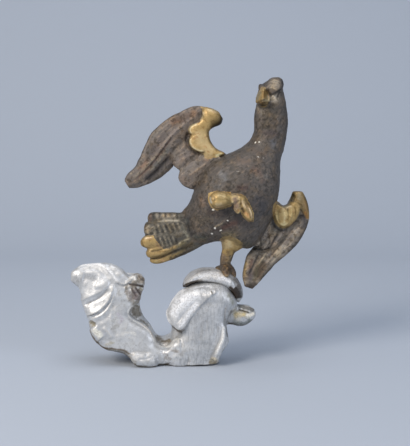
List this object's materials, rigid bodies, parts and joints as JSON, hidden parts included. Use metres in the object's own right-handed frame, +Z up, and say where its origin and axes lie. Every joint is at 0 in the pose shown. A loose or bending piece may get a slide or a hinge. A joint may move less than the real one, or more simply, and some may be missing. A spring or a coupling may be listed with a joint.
{
  "type": "carved wooden weathercock",
  "caption": "Carved wooden bird with one raised and one lowered wing, standing on one leg on a silvered scrollwork base.",
  "frame": {"origin": "centre of the bounding box in plan, on the surface that the base stands on", "axes": "+Z up, +X to the right in the front view, +Y away from the viewer, so the carved front faces -Y"},
  "size_m": [0.334, 0.1142, 0.4005],
  "materials": {
    "polychrome": "aged dark brown-grey paint with gilded wing coverts, legs, beak and lower tail feathers",
    "silver_leaf": "worn silver leaf over gesso, with bare wood on some edges"
  },
  "bodies": {
    "root": {"bird": "polychrome", "perch_cap": "silver_leaf", "base": "silver_leaf"}
  },
  "joints": []
}
